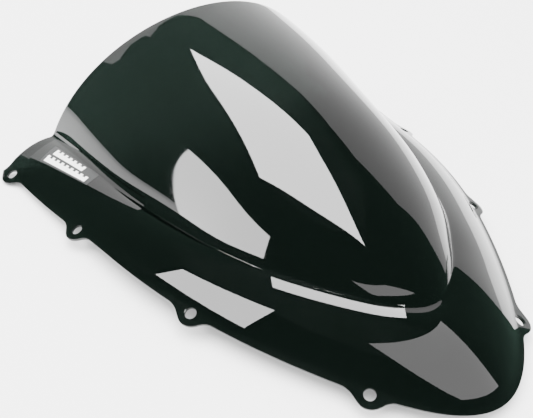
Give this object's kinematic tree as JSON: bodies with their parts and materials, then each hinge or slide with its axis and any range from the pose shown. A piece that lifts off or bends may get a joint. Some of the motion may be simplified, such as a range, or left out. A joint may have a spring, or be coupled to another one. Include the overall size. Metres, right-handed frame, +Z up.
{
  "type": "motorcycle windshield screen",
  "caption": "Dark smoked double-bubble windshield screen for a sport motorcycle, with a stepped rim, screw ears and a small decal.",
  "frame": {"origin": "on the ground under the middle of the screen's bounding box, with the screen standing on its lower edge", "axes": "-Y towards the nose, +Y towards the rider, +Z up, and -X towards the wing with the decal; X = 0 is the plane of symmetry"},
  "size_m": [0.4116, 0.4406, 0.1461],
  "materials": {
    "smoked_acrylic": "polished",
    "decal_black": "satin",
    "decal_white": "satin"
  },
  "bodies": {
    "root": {"screen": "smoked_acrylic", "decal_backing": "decal_black", "decal_mark_upper": "decal_white", "decal_mark_lower": "decal_white"}
  },
  "joints": []
}
